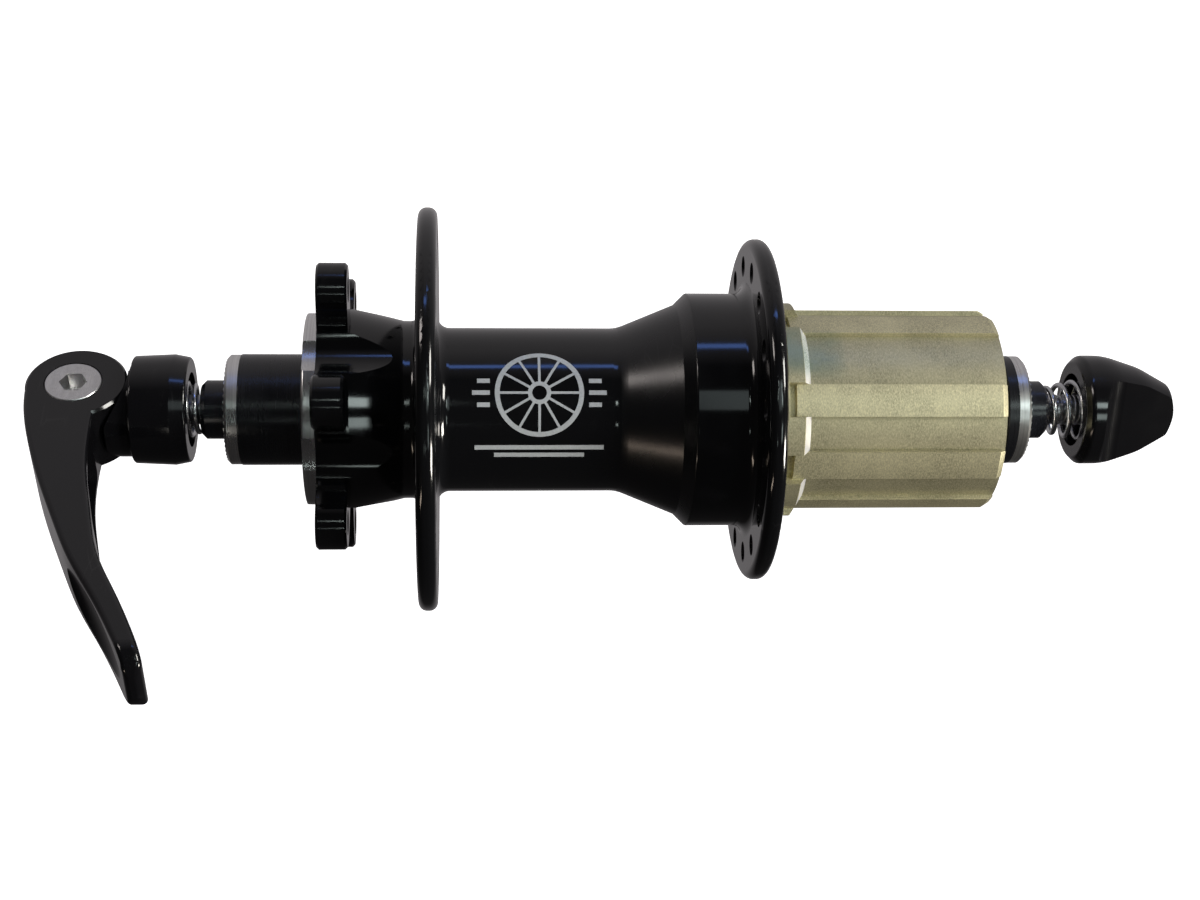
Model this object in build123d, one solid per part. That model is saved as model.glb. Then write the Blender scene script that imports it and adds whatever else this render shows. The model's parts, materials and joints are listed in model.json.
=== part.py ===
# Rear bicycle hub for a six-bolt disc rotor, with a splined freehub body and a quick-release skewer.
#
# Frame: the origin is on the hub axis, midway between the two locknut faces. +X runs along the axis
# from the brake side to the drive side, +Z is up, and +Y points forward. Millimetres.
from build123d import *
import os
from math import atan2, cos, degrees, radians, sin, tan

# ---- driving dimensions -----------------------------------------------------------------------
OVER_LOCKNUT = 135.0          # between the outer faces of the two end rings
DROPOUT_SEAT_LENGTH = 4.5     # bare axle that stands out of each end ring
AXLE_END_R = 4.95             # seat of a 10 mm dropout
AXLE_THREAD_R = 6.0
BEARING_SEAT_R = 7.5
AXLE_BODY_R = 8.6
AXLE_BORE_R = 2.75
SKEWER_ROD_R = 2.5

ROTOR_INSET = 15.3            # rotor face to the brake-side locknut face
ROTOR_PCD = 44.0
ROTOR_BOLTS = 6
ROTOR_HOLE_R = 2.1            # tapping size of M5
ROTOR_LOBE_R = 4.4
ROTOR_LOBE_THICK = 5.1
ROTOR_REGISTER_R = 16.3
ROTOR_REGISTER_LENGTH = 2.2
SCALLOP_R = 7.2               # cutter that clears the metal between the lobes
SCALLOP_AT_R = 22.6
SHELL_CLOCKING = 3.0          # degrees that the shell is turned from level

LEFT_FLANGE_X = -34.2
LEFT_FLANGE_R = 34.05
LEFT_SPOKE_PCD = 58.0
RIGHT_FLANGE_X = 21.2
RIGHT_FLANGE_R = 29.1
RIGHT_SPOKE_PCD = 49.0
FLANGE_THICK = 3.2
SPOKES_PER_FLANGE = 16
SPOKE_HOLE_R = 1.35
SPOKE_SINK = 0.5              # depth and width of the chamfer round a spoke hole

NECK_R = 17.1
NECK_FOOT_R = 15.0
WAIST_R = 13.85
SHELL_BORE_R = 10.5
BARREL_R = 19.85
BARREL_START_X = 9.4
CONE_START_X = -2.4
CONE_END_R = 17.9

SHELL_BEARING_OD_R = 14.0     # 15 x 28 x 7 cartridge
SHELL_BEARING_WIDTH = 7.0
FREEHUB_BEARING_OD_R = 12.0   # 15 x 24 x 5 cartridge
FREEHUB_BEARING_WIDTH = 5.0
RIGHT_SHELL_BEARING_X = 6.0   # inboard face
BEARING_RECESS = 0.6          # brake-side bearing below the register face

RATCHET_R = 17.6
RATCHET_ROOT_R = 16.2
RATCHET_TIP_R = 15.0
RATCHET_TEETH = 24
RATCHET_LENGTH = 8.0
CARRIER_R = 14.6
CARRIER_LENGTH = 7.6
CARRIER_BORE_R = 10.5
PAWL_COUNT = 3
PAWL_PIVOT_R = 1.25
PAWL_PIVOT_AT_R = 13.2
PAWL_LENGTH = 6.3
PAWL_THICK = 1.6
PAWL_WIDTH = 5.4
PAWL_DROOP = 14.0             # degrees that a folded pawl leans in
PAWL_TIP_GAP_DEG = 1.2        # between a raised tip and the steep face of a tooth

SPLINE_COUNT = 9
SPLINE_R = 17.05
SPLINE_ROOT_R = 16.2
SPLINE_WIDTH_DEG = 18.0
SPLINE_WIDE_STEP_DEG = 52.5   # from the front spline up to the next; the other steps are even
SPLINE_CLOCKING = 5.0
SPLINE_START_X = 26.0
FREEHUB_END_X = 61.2
FREEHUB_RING_R = 18.25
FREEHUB_RING_X = (23.2, 27.2)
FREEHUB_RING_SLOPE = 1.3      # axial length of the bare slope at each groove's end
LOCKRING_BORE_R = 15.1        # core diameter of the M30.6 lockring thread
LOCKRING_DEPTH = 5.8
OUTER_BEARING_X = 49.0        # inboard face of the outboard freehub bearing

END_RING_R = 9.25
END_RING_THICK = 2.1
END_CAP_R = 9.35
RIGHT_SPACER_R = 9.3

LEVER_TILT = 48.0             # degrees that the whole skewer is turned round the hub axis
LEVER_PIVOT_X = -92.6
LEVER_HEAD_R = 8.3
LEVER_HALF_WIDTH = 6.2
LEVER_THROW = 0.5             # offset of the head from its pivot, which makes the cam
LEVER_REACH = 60.6
LEVER_TIP_R = 4.2             # corner radius of the tip, seen along the skewer
ARM_SOFT = 0.8                # rounding of the arm's long edges
ARM_OUTER = (                 # the arm's back in the lever's own plane, from the pivot
    (-7.72, -1.2), (-7.1, -6.5), (-5.5, -13.0), (-2.4, -22.3), (1.1, -31.1), (4.8, -39.6),
    (9.3, -47.7), (13.2, -55.5), (14.9, 1.4 - LEVER_REACH))
ARM_INNER = (                 # its front, from the tip back to the head
    (17.9, 1.9 - LEVER_REACH), (16.1, -54.0), (12.5, -46.0), (8.9, -38.0), (6.9, -29.8),
    (4.9, -20.0), (4.2, -8.7), (4.4, -3.0))
HOLLOW_AT = (7.6, -21.0)      # middle of the hollow's mouth in the lever's own plane
HOLLOW_TURN = 8.0
HOLLOW_LENGTH = 20.0
HOLLOW_DEPTH = 4.5
HOLLOW_RIM = 1.5
SCOOP_AT = (8.6, -48.0)       # middle of the thumb scoop's mouth
SCOOP_TURN = 27.0
SCOOP_LENGTH = 24.0
SCOOP_R = 5.2
SCOOP_DEPTH = 2.0
PIVOT_R = 4.0
PIVOT_HEAD_R = 4.7
PIVOT_HEAD_THICK = 1.6
PIVOT_SOCKET_AF = 4.0
HOUSING_R = 9.3
HOUSING_X = (-83.0, -73.8)
HOUSING_NECK_R = 7.9
NUT_R = 9.4
NUT_X = (77.1, 94.4)
NUT_INSERT_R = 3.6
NUT_INSERT_TO_TIP = 6.6
SPRING_RECESS_R = 6.3
SPRING_RECESS_DEPTH = 4.2
SPRING_WIRE_R = 0.45
SPRING_SMALL_R = 3.75
SPRING_LARGE_R = 5.6
SPRING_TURNS = 3.5

# ---- clearances -------------------------------------------------------------------------------
RUNNING = 0.05                # radial, in a pivot
SEAT = 0.02                   # radial, under a ring that is slid on
WALL_GAP = 0.3                # between faces that pass each other
EDGE = 0.4                    # small chamfers

# ---- worked out -------------------------------------------------------------------------------
HALF_SPAN = OVER_LOCKNUT / 2
AXLE_HALF_LENGTH = HALF_SPAN + DROPOUT_SEAT_LENGTH
ROTOR_FACE_X = -HALF_SPAN + ROTOR_INSET
REGISTER_X = ROTOR_FACE_X - ROTOR_REGISTER_LENGTH
LOBE_BACK_X = ROTOR_FACE_X + ROTOR_LOBE_THICK
LEFT_BEARING_X = REGISTER_X + BEARING_RECESS
LEFT_BEARING_END_X = LEFT_BEARING_X + SHELL_BEARING_WIDTH
RIGHT_BEARING_END_X = RIGHT_SHELL_BEARING_X + SHELL_BEARING_WIDTH
CARRIER_X = RIGHT_BEARING_END_X + 1.4
RATCHET_X = CARRIER_X - EDGE
INNER_BEARING_X = FREEHUB_RING_X[0] + 0.8
INNER_BEARING_END_X = INNER_BEARING_X + FREEHUB_BEARING_WIDTH
OUTER_BEARING_END_X = OUTER_BEARING_X + FREEHUB_BEARING_WIDTH
RIGHT_SPACER_END_X = HALF_SPAN - END_RING_THICK
LEFT_RING_INNER_X = -HALF_SPAN + END_RING_THICK
PAWL_DEPTH = PAWL_THICK / 2
PAWL_X = CARRIER_X + (CARRIER_LENGTH - PAWL_WIDTH) / 2
LEVER_PLANE = Plane(
    origin=(LEVER_PIVOT_X, 0, 0),
    x_dir=(1, 0, 0),
    z_dir=(0, -cos(radians(LEVER_TILT)), sin(radians(LEVER_TILT))),
)


# ---- shape helpers ----------------------------------------------------------------------------
def rounded_face(corners):
    """Closed face in the XY plane from (x, y) or (x, y, fillet radius) corners."""
    count = len(corners)
    points = [Vector(c[0], c[1]) for c in corners]
    spans, edges = [], []
    for i, corner in enumerate(corners):
        here = points[i]
        if len(corner) == 2:
            spans.append((here, here))
            continue
        before = (points[i - 1] - here).normalized()
        after = (points[(i + 1) % count] - here).normalized()
        half = radians(before.get_angle(after)) / 2
        middle = (before + after).normalized()
        start = here + before * (corner[2] / tan(half))
        end = here + after * (corner[2] / tan(half))
        crown = here + middle * (corner[2] / sin(half) - corner[2])
        edges.append(ThreePointArc(start, crown, end))
        spans.append((start, end))
    for i in range(count):
        leave, arrive = spans[i][1], spans[(i + 1) % count][0]
        edges.append(Line(leave, arrive))
    return make_face(edges)


def turned(*corners, arc=360.0):
    """Solid turned about the hub axis from a profile of (x, radius) corners."""
    return revolve(rounded_face(corners), axis=Axis.X, revolution_arc=arc)


def tube(start_x, end_x, outer_r, inner_r=0.0):
    """Plain tube or bar on the hub axis."""
    return turned((start_x, inner_r), (start_x, outer_r), (end_x, outer_r), (end_x, inner_r))


def around(shape, count, first=0.0):
    """Copies of a shape spaced evenly round the hub axis; first is in degrees."""
    step = 360 / count
    return [Rot(X=first + step * i) * shape for i in range(count)]


def across(face, start_x, length):
    """Extrude a face, drawn as (toward +Y, toward +Z), along the hub axis."""
    plane = Plane(origin=(start_x, 0, 0), x_dir=(0, 1, 0), z_dir=(1, 0, 0))
    return extrude(plane * face, length)


# ---- shell ------------------------------------------------------------------------------------
def shell_blank():
    """The turned blank: register, neck, both flanges, waist, cone and barrel, bored through."""
    half = FLANGE_THICK / 2
    rim = half - 0.2
    waist_end = CONE_START_X
    ratchet_seat = RATCHET_X
    return turned(
        (REGISTER_X, SHELL_BEARING_OD_R),
        (REGISTER_X, ROTOR_REGISTER_R, EDGE),
        (ROTOR_FACE_X, ROTOR_REGISTER_R),
        (ROTOR_FACE_X, NECK_R),
        (LOBE_BACK_X + EDGE, NECK_R),
        (LEFT_FLANGE_X - half - 2.4, NECK_FOOT_R, 3.0),
        (LEFT_FLANGE_X - half, NECK_FOOT_R, 1.2),
        (LEFT_FLANGE_X - half, LEFT_FLANGE_R, rim),
        (LEFT_FLANGE_X + half, LEFT_FLANGE_R, rim),
        (LEFT_FLANGE_X + half, WAIST_R, 2.0),
        (waist_end, WAIST_R, 6.0),
        (BARREL_START_X - (BARREL_R - CONE_END_R), CONE_END_R),
        (BARREL_START_X, BARREL_R, EDGE),
        (RIGHT_FLANGE_X - half, BARREL_R, 2.0),
        (RIGHT_FLANGE_X - half, RIGHT_FLANGE_R, rim),
        (RIGHT_FLANGE_X + half, RIGHT_FLANGE_R, rim),
        (RIGHT_FLANGE_X + half, RATCHET_R),
        (ratchet_seat, RATCHET_R),
        (ratchet_seat, SHELL_BEARING_OD_R),
        (RIGHT_SHELL_BEARING_X, SHELL_BEARING_OD_R),
        (RIGHT_SHELL_BEARING_X, SHELL_BORE_R + 1.5),
        (waist_end + 3.0, SHELL_BORE_R + 1.5),
        (waist_end, SHELL_BORE_R),
        (LEFT_BEARING_END_X, SHELL_BORE_R),
        (LEFT_BEARING_END_X, SHELL_BEARING_OD_R),
    )


def rotor_lobe():
    """One drilled ear that carries a rotor bolt, drawn at +Z."""
    root = SHELL_BEARING_OD_R + 1.0
    at = ROTOR_PCD / 2
    ear = Pos(0, at) * Circle(ROTOR_LOBE_R)
    web = Pos(0, (root + at) / 2) * Rectangle(2 * ROTOR_LOBE_R, at - root)
    body = across(ear + web, ROTOR_FACE_X, ROTOR_LOBE_THICK)
    outer_edges = body.edges().filter_by(GeomType.CIRCLE)
    return chamfer(outer_edges, EDGE)


def spoke_holes(flange_x, pcd, first):
    """Drill and countersink one flange's ring of spoke holes."""
    half = FLANGE_THICK / 2
    at = pcd / 2
    drill = across(Pos(0, at) * Circle(SPOKE_HOLE_R), flange_x - half - 1, FLANGE_THICK + 2)
    sinks = []
    for side in (-1, 1):
        face = Plane(origin=(flange_x + side * half, 0, at), z_dir=(-side, 0, 0))
        sinks.append(face * Pos(0, 0, SPOKE_SINK / 2) * Cone(
            SPOKE_HOLE_R + SPOKE_SINK, SPOKE_HOLE_R, SPOKE_SINK))
    cutter = drill + sinks[0] + sinks[1]
    return around(cutter, SPOKES_PER_FLANGE, first)


def hub_shell():
    """Shell with the six rotor lobes, the milled scallops and both rings of spoke holes."""
    half_step = 180 / SPOKES_PER_FLANGE
    lobe_first = 90 - SHELL_CLOCKING
    body = shell_blank()
    body += around(rotor_lobe(), ROTOR_BOLTS, lobe_first)
    scallop = across(Pos(0, SCALLOP_AT_R) * Circle(SCALLOP_R), REGISTER_X - 1,
                     LEFT_FLANGE_X - FLANGE_THICK / 2 - 1.3 - REGISTER_X + 1)
    body -= around(scallop, ROTOR_BOLTS, lobe_first + 180 / ROTOR_BOLTS)
    bolt_hole = across(Pos(0, ROTOR_PCD / 2) * Circle(ROTOR_HOLE_R), ROTOR_FACE_X - 1,
                       ROTOR_LOBE_THICK + 2)
    body -= around(bolt_hole, ROTOR_BOLTS, lobe_first)
    body -= spoke_holes(LEFT_FLANGE_X, LEFT_SPOKE_PCD, half_step)
    body -= spoke_holes(RIGHT_FLANGE_X, RIGHT_SPOKE_PCD, 0)
    return body


def ratchet_ring():
    """Steel ring pressed into the barrel, with saw teeth that the pawls catch."""
    body = tube(RATCHET_X, RATCHET_X + RATCHET_LENGTH, RATCHET_R, RATCHET_TIP_R)
    pitch = 360 / RATCHET_TEETH
    steep, foot, slope = 0.38 * pitch, 0.1 * pitch, -0.46 * pitch
    inner = RATCHET_TIP_R - 1
    corners = [(inner, steep), (RATCHET_ROOT_R, steep), (RATCHET_ROOT_R, foot), (inner, slope)]
    gap = make_face(Polyline(*[(r * sin(radians(a)), r * cos(radians(a))) for r, a in corners],
                             close=True))
    # The steep face stands just ahead of a raised pawl's tip.
    raised_tip = degrees(atan2(PAWL_LENGTH, PAWL_PIVOT_AT_R + PAWL_DEPTH))
    first = steep - raised_tip - PAWL_TIP_GAP_DEG
    body -= around(across(gap, RATCHET_X - 1, RATCHET_LENGTH + 2), RATCHET_TEETH, first)
    return body


# ---- bearings ---------------------------------------------------------------------------------
def bearing(start_x, width, outer_r, ball_r, balls):
    """Sealed cartridge bearing: outer ring, inner ring, balls and the pair of seals."""
    pitch_r = (outer_r + BEARING_SEAT_R) / 2
    land = ball_r * 0.7
    middle = start_x + width / 2
    track = Pos(middle, 0, 0) * Rot(Y=90) * Torus(pitch_r, ball_r + RUNNING)
    outer = tube(start_x, start_x + width, outer_r, pitch_r + land) - track
    inner = tube(start_x, start_x + width, pitch_r - land, BEARING_SEAT_R) - track
    ball = Pos(middle, 0, pitch_r) * Sphere(ball_r)
    seal_thick = EDGE
    seal_r = (pitch_r + land, pitch_r - land + RUNNING * 3)
    inset = RUNNING * 3
    seals = [
        tube(start_x + inset, start_x + inset + seal_thick, *seal_r),
        tube(start_x + width - inset - seal_thick, start_x + width - inset, *seal_r),
    ]
    return outer, inner, around(ball, balls), seals


# ---- axle set ---------------------------------------------------------------------------------
def axle():
    """Hollow stepped axle: dropout seats, threads, bearing seats and the thick middle."""
    ends = AXLE_HALF_LENGTH
    return turned(
        (-ends, AXLE_BORE_R),
        (-ends, AXLE_END_R - 2 * EDGE),
        (-ends + 2 * EDGE, AXLE_END_R),
        (LEFT_RING_INNER_X, AXLE_END_R),
        (LEFT_RING_INNER_X, AXLE_THREAD_R),
        (LEFT_BEARING_X, AXLE_THREAD_R),
        (LEFT_BEARING_X, BEARING_SEAT_R),
        (LEFT_BEARING_END_X, BEARING_SEAT_R),
        (LEFT_BEARING_END_X, AXLE_BODY_R),
        (RIGHT_SHELL_BEARING_X, AXLE_BODY_R),
        (RIGHT_SHELL_BEARING_X, BEARING_SEAT_R),
        (OUTER_BEARING_END_X, BEARING_SEAT_R),
        (OUTER_BEARING_END_X, AXLE_THREAD_R),
        (RIGHT_SPACER_END_X, AXLE_THREAD_R),
        (RIGHT_SPACER_END_X, AXLE_END_R),
        (ends - 2 * EDGE, AXLE_END_R),
        (ends, AXLE_END_R - 2 * EDGE),
        (ends, AXLE_BORE_R),
    )


def left_end_cap():
    """Black cap between the brake-side bearing and its end ring."""
    nose_r = BEARING_SEAT_R + 1.5
    return turned(
        (LEFT_RING_INNER_X, AXLE_THREAD_R),
        (LEFT_RING_INNER_X, END_CAP_R, EDGE / 2),
        (REGISTER_X - WALL_GAP, END_CAP_R, EDGE / 2),
        (REGISTER_X - WALL_GAP, nose_r),
        (LEFT_BEARING_X, nose_r),
        (LEFT_BEARING_X, AXLE_THREAD_R),
    )


def end_ring(face_x, inner_x):
    """Bright end ring whose outer face bears on the dropout."""
    side = 1 if face_x > 0 else -1
    return turned(
        (face_x, AXLE_END_R + SEAT),
        (face_x, END_RING_R - EDGE),
        (face_x - side * EDGE, END_RING_R),
        (inner_x, END_RING_R),
        (inner_x, AXLE_END_R + SEAT),
    )


def right_spacer():
    """Black spacer between the outboard freehub bearing and the drive-side end ring."""
    nose_r = BEARING_SEAT_R + 1.0
    groove_x = (FREEHUB_END_X + RIGHT_SPACER_END_X) / 2
    return turned(
        (OUTER_BEARING_END_X, AXLE_THREAD_R),
        (OUTER_BEARING_END_X, nose_r),
        (OUTER_BEARING_END_X + 2, nose_r),
        (OUTER_BEARING_END_X + 2, RIGHT_SPACER_R),
        (groove_x - EDGE, RIGHT_SPACER_R),
        (groove_x, RIGHT_SPACER_R - EDGE),
        (groove_x + EDGE, RIGHT_SPACER_R),
        (RIGHT_SPACER_END_X, RIGHT_SPACER_R),
        (RIGHT_SPACER_END_X, AXLE_THREAD_R),
    )


# ---- freehub ----------------------------------------------------------------------------------
def pawl_section(grow=0.0):
    """A pawl's outline at +Z: a round pivot and an arm that leans in towards its tip."""
    lean = radians(PAWL_DROOP)
    along = Vector(cos(lean), -sin(lean))
    out = Vector(sin(lean), cos(lean))
    pivot = Vector(0, PAWL_PIVOT_AT_R)
    tip = pivot + along * (PAWL_LENGTH + grow)
    corners = [pivot + out * (PAWL_DEPTH + grow), tip + out * (PAWL_DEPTH + grow),
               tip - along * 0.7 - out * (PAWL_DEPTH + grow), pivot - out * (PAWL_DEPTH + grow)]
    arm = make_face(Polyline(*corners, close=True))
    return Pos(0, PAWL_PIVOT_AT_R) * Circle(PAWL_PIVOT_R + min(grow, RUNNING)) + arm


def pawl_pocket():
    """Cutter for a pawl's seat, open outwards over the arm, with room for its leaf spring."""
    lean = radians(PAWL_DROOP)
    reach = PAWL_LENGTH + 3 * WALL_GAP
    floor = PAWL_PIVOT_AT_R - PAWL_DEPTH / cos(lean) - 2 * WALL_GAP
    roof = CARRIER_R + 2
    arm_room = make_face(Polyline((0, roof), (0, floor), (reach, floor - reach * tan(lean)),
                                  (reach, roof), close=True))
    section = Pos(0, PAWL_PIVOT_AT_R) * Circle(PAWL_PIVOT_R + RUNNING) + arm_room
    return across(section, PAWL_X - WALL_GAP / 3, PAWL_WIDTH + 2 * WALL_GAP / 3)


def pawls():
    """The three pawls, folded clear of the ratchet teeth."""
    return around(across(pawl_section(), PAWL_X, PAWL_WIDTH), PAWL_COUNT)


def pawl_springs():
    """Leaf springs that lie under the pawls' arms."""
    lean = radians(PAWL_DROOP)
    top = PAWL_PIVOT_AT_R - PAWL_DEPTH / cos(lean) - WALL_GAP
    start, end = PAWL_PIVOT_R + WALL_GAP, PAWL_LENGTH - 1
    thick = WALL_GAP / 2
    strip = make_face(Polyline(
        (start, top - start * tan(lean)), (end, top - end * tan(lean)),
        (end, top - thick - end * tan(lean)), (start, top - thick - start * tan(lean)), close=True))
    return around(across(strip, PAWL_X + 1, PAWL_WIDTH - 2), PAWL_COUNT)


def spline_cutters():
    """Cutters for the grooves between the splines, and for the notch behind each spline."""
    step = (360 - SPLINE_WIDE_STEP_DEG) / (SPLINE_COUNT - 1)
    ring_end = FREEHUB_RING_X[1]
    above = FREEHUB_RING_R + 1
    past = FREEHUB_END_X + 1
    groove, wide_groove = (turned(
        (ring_end, FREEHUB_RING_R), (ring_end + FREEHUB_RING_SLOPE, SPLINE_ROOT_R),
        (past, SPLINE_ROOT_R), (past, above), (ring_end, above), arc=gap - SPLINE_WIDTH_DEG)
        for gap in (step, SPLINE_WIDE_STEP_DEG))
    notch = turned(
        (FREEHUB_RING_X[0] + 1.4, SPLINE_ROOT_R), (SPLINE_START_X, SPLINE_ROOT_R),
        (SPLINE_START_X, SPLINE_R), (ring_end + 1, SPLINE_R), (ring_end + 1, above),
        (FREEHUB_RING_X[0] + 1.4, above), arc=SPLINE_WIDTH_DEG)
    # A face drawn at +Y is turned to the -Y side, and then clocked upwards.
    turns = [180 - SPLINE_CLOCKING + step * i for i in range(SPLINE_COUNT)]
    half = SPLINE_WIDTH_DEG / 2
    grooves = [Rot(X=turn + half) * groove for turn in turns[:-1]]
    grooves.append(Rot(X=turns[-1] + half) * wide_groove)
    return grooves + [Rot(X=turn - half) * notch for turn in turns]


def freehub_body():
    """Splined cassette carrier with the pawl carrier on its inboard end."""
    clip_x = OUTER_BEARING_END_X
    thread_x = FREEHUB_END_X - LOCKRING_DEPTH
    body = turned(
        (CARRIER_X, CARRIER_BORE_R),
        (CARRIER_X, CARRIER_R, WALL_GAP),
        (FREEHUB_RING_X[0], CARRIER_R),
        (FREEHUB_RING_X[0], FREEHUB_RING_R),
        (FREEHUB_RING_X[1], FREEHUB_RING_R),
        (FREEHUB_RING_X[1] + 0.8, SPLINE_R),
        (FREEHUB_END_X - 0.9, SPLINE_R),
        (FREEHUB_END_X, SPLINE_R - 0.55),
        (FREEHUB_END_X, LOCKRING_BORE_R),
        (thread_x, LOCKRING_BORE_R),
        (thread_x, FREEHUB_BEARING_OD_R + 0.1),
        (clip_x + 1, FREEHUB_BEARING_OD_R + 0.1),
        (clip_x + 1, FREEHUB_BEARING_OD_R + 0.6),
        (clip_x, FREEHUB_BEARING_OD_R + 0.6),
        (clip_x, FREEHUB_BEARING_OD_R),
        (INNER_BEARING_X, FREEHUB_BEARING_OD_R),
        (INNER_BEARING_X, CARRIER_BORE_R),
    )
    body -= spline_cutters()
    body -= around(pawl_pocket(), PAWL_COUNT)
    return body


def bearing_circlip():
    """Split ring that holds the outboard freehub bearing in its bore."""
    ring = tube(OUTER_BEARING_END_X, OUTER_BEARING_END_X + 0.95, FREEHUB_BEARING_OD_R + 0.5,
                FREEHUB_BEARING_OD_R - 1)
    gap = Pos(OUTER_BEARING_END_X, 0, FREEHUB_BEARING_OD_R) * Box(4, 5, 4)
    return ring - gap


def freehub_seal():
    """Rubber lip ring that closes the gap between the freehub and the shell."""
    start = RATCHET_X + RATCHET_LENGTH + WALL_GAP
    return turned(
        (start, CARRIER_R),
        (start, RATCHET_R - WALL_GAP),
        (start + 0.4, RATCHET_R - WALL_GAP),
        (FREEHUB_RING_X[0], CARRIER_R + 1.2),
        (FREEHUB_RING_X[0], CARRIER_R),
    )


# ---- skewer -----------------------------------------------------------------------------------
def skewer_rod():
    """Long rod from the pivot barrel through the axle into the nut, with a chamfered tip."""
    end = NUT_X[1] - NUT_INSERT_TO_TIP - 1.5
    return turned((LEVER_PIVOT_X, 0), (LEVER_PIVOT_X, SKEWER_ROD_R), (end - EDGE, SKEWER_ROD_R),
                  (end, SKEWER_ROD_R - EDGE), (end, 0))


def pivot_barrel():
    """Cross pin that the lever turns on: a barrel with a flat head and a hexagon socket."""
    half = LEVER_HALF_WIDTH
    shank = Pos(0, 0, -PIVOT_HEAD_THICK / 2) * Cylinder(PIVOT_R, 2 * half - PIVOT_HEAD_THICK)
    head = Pos(0, 0, half - PIVOT_HEAD_THICK / 2) * Cylinder(PIVOT_HEAD_R, PIVOT_HEAD_THICK)
    head = chamfer(head.edges().filter_by(GeomType.CIRCLE).sort_by(Axis.Z)[-1], EDGE / 2)
    socket_depth = 3.0
    socket = Pos(0, 0, half - socket_depth) * extrude(
        RegularPolygon(PIVOT_SOCKET_AF / 2, 6, major_radius=False), socket_depth)
    rod_hole = tube(LEVER_PIVOT_X, LEVER_PIVOT_X + 2 * PIVOT_R, SKEWER_ROD_R)
    return LEVER_PLANE * (shank + head - socket) - rod_hole


def arm_outline():
    """The lever arm seen along its pivot: two curves that meet at the tip."""
    tip = (16.9, -LEVER_REACH)
    return make_face([
        Spline(*ARM_OUTER), ThreePointArc(ARM_OUTER[-1], tip, ARM_INNER[0]), Spline(*ARM_INNER),
        Line(ARM_INNER[-1], ARM_OUTER[0])])


def lever():
    """Cam lever: eccentric forked head, curved arm, hollow back and a thumb scoop."""
    half = LEVER_HALF_WIDTH
    width = 2 * half
    drum = Pos(LEVER_THROW, 0, 0) * Cylinder(LEVER_HEAD_R, width)
    drum = chamfer(drum.edges().filter_by(GeomType.CIRCLE), EDGE)
    arm = extrude(arm_outline(), half, both=True)
    side_view = Plane(origin=(0, 0, 0), x_dir=(0, 0, 1), z_dir=(-1, 0, 0))
    plan = Rectangle(width, 2 * LEVER_REACH)
    plan = fillet(plan.vertices(), LEVER_TIP_R)
    arm &= extrude(side_view * plan, LEVER_REACH, both=True)
    long_edges = [e for e in arm.edges() if e.length > EDGE and e.center().Y < -LEVER_HEAD_R]
    arm = fillet(long_edges, ARM_SOFT)
    pivot_bore = Cylinder(PIVOT_R + RUNNING, width + 2)
    head_bore = Pos(0, 0, half) * Cylinder(PIVOT_HEAD_R + RUNNING, 2 * (PIVOT_HEAD_THICK + RUNNING))
    fork = SKEWER_ROD_R + WALL_GAP
    slot = Pos(0, LEVER_REACH / 2 - fork, 0) * Box(LEVER_REACH, LEVER_REACH, 2 * fork)
    hollow = Pos(*HOLLOW_AT, 0) * Rot(Z=HOLLOW_TURN) * Box(
        2 * HOLLOW_DEPTH, HOLLOW_LENGTH, width - 2 * HOLLOW_RIM)
    hollow = fillet(hollow.edges().filter_by(Axis.X, tolerance=HOLLOW_TURN + 1), HOLLOW_RIM)
    scoop = Pos(*SCOOP_AT, 0) * Rot(Z=SCOOP_TURN) * scale(
        Sphere(SCOOP_R), (SCOOP_DEPTH / SCOOP_R, SCOOP_LENGTH / 2 / SCOOP_R, 1))
    return LEVER_PLANE * (drum + arm - pivot_bore - head_bore - slot - hollow - scoop)


def cam_housing():
    """Housing that the lever's head bears on: a saddle, a bored body and a spring recess."""
    left, right = HOUSING_X
    neck_left = LEVER_PIVOT_X + LEVER_HEAD_R - 2.8
    body = turned(
        (neck_left, AXLE_BORE_R),
        (neck_left, HOUSING_NECK_R),
        (left - EDGE, HOUSING_NECK_R),
        (left, HOUSING_R - 0.3, EDGE),
        (right - 2.6, HOUSING_R, EDGE),
        (right, HOUSING_R - 0.5, EDGE),
        (right, SPRING_RECESS_R),
        (right - SPRING_RECESS_DEPTH, SPRING_RECESS_R),
        (right - SPRING_RECESS_DEPTH, AXLE_BORE_R),
    )
    saddle_r = LEVER_HEAD_R + 1.2
    saddle_shift = LEVER_THROW + LEVER_HEAD_R + WALL_GAP - saddle_r
    saddle = LEVER_PLANE * (Pos(saddle_shift, 0, 0) * Cylinder(saddle_r, 4 * LEVER_HALF_WIDTH))
    # Room for the back of the arm when the lever is fully open and the housing has backed off.
    shift = 2 * LEVER_THROW + 3 * WALL_GAP
    back = [(shift - x, -y) for x, y in ARM_OUTER[:3]]
    edge = back[0][1] - WALL_GAP
    relief = make_face(Polyline((0, edge), (back[0][0], edge), *back, (0, back[-1][1]), close=True))
    relief = LEVER_PLANE * extrude(relief, 2 * LEVER_HALF_WIDTH, both=True)
    return body - saddle - relief


def conical_spring(small_x, large_x):
    """Volute spring: its small end sits on the axle end and its large end in a recess."""
    side = 1 if large_x > small_x else -1
    margin = SPRING_WIRE_R + RUNNING
    length = abs(large_x - small_x) - 2 * margin
    flare = degrees(atan2(SPRING_LARGE_R - SPRING_SMALL_R, length))
    path = Edge.make_helix(length / SPRING_TURNS, length, SPRING_SMALL_R,
                           (small_x + side * margin, 0, 0), (side, 0, 0), angle=flare)
    section = Plane(origin=path @ 0, z_dir=path % 0) * Circle(SPRING_WIRE_R)
    return sweep(section, path=path, is_frenet=True)


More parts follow.
